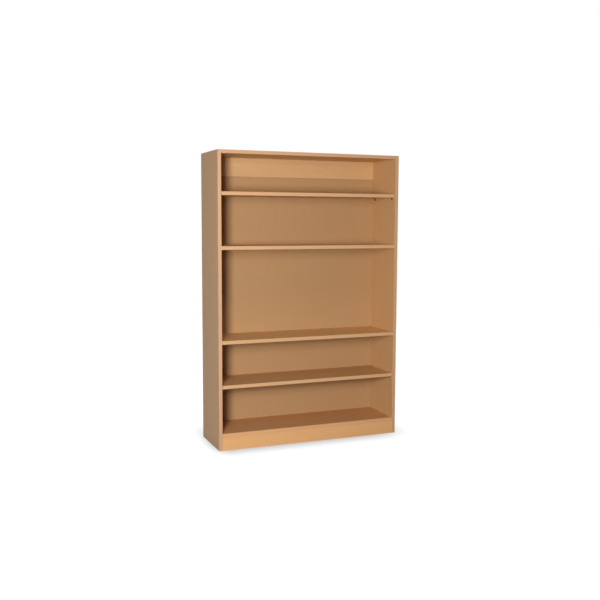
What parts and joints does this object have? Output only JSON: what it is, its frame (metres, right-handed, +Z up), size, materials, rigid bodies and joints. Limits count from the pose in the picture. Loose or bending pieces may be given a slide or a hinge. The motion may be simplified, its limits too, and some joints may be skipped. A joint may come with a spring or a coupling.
{
  "type": "open bookcase",
  "caption": "Tall open bookcase of laminated board on a plinth, with fixed shelves, loose shelves on moulded pins, a grooved-in back and a rail under the top.",
  "frame": {"origin": "on the floor, at the middle of the footprint", "axes": "+X to the right seen from the open front, +Y from the open front to the back, +Z up"},
  "size_m": [1, 0.3, 1.5],
  "materials": {
    "laminated_board": "satin beech-look laminate on chipboard",
    "edging": "satin, lighter than the boards",
    "back_board": "satin beech-look foil on thin board",
    "dowel_wood": "plain turned hardwood",
    "shelf_pin": "moulded, dark brown"
  },
  "bodies": {
    "case": {"side_panel_left": "laminated_board", "side_panel_right": "laminated_board", "side_panel_left_edging": "edging", "side_panel_right_edging": "edging", "top_panel": "laminated_board", "top_panel_edging": "edging", "top_panel_dowels": "dowel_wood", "base_shelf": "laminated_board", "base_shelf_edging": "edging", "front_plinth": "laminated_board", "front_plinth_dowels": "dowel_wood", "rear_plinth_rail": "laminated_board", "top_rear_rail": "laminated_board", "back_panel": "back_board", "fixed_shelf_lower": "laminated_board", "fixed_shelf_lower_edging": "edging", "fixed_shelf_upper": "laminated_board", "fixed_shelf_upper_edging": "edging", "loose_shelf_lower_pins": "shelf_pin", "loose_shelf_upper_pins": "shelf_pin"},
    "lower_shelf": {"loose_shelf_lower": "laminated_board", "loose_shelf_lower_edging": "edging"},
    "upper_shelf": {"loose_shelf_upper": "laminated_board", "loose_shelf_upper_edging": "edging"}
  },
  "joints": [
    {"name": "lower_shelf_draw", "type": "slide", "parent": "case", "child": "lower_shelf", "axis": [0, -1, 0], "range_m": [0, 0.28]},
    {"name": "upper_shelf_draw", "type": "slide", "parent": "case", "child": "upper_shelf", "axis": [0, -1, 0], "range_m": [0, 0.28]}
  ]
}
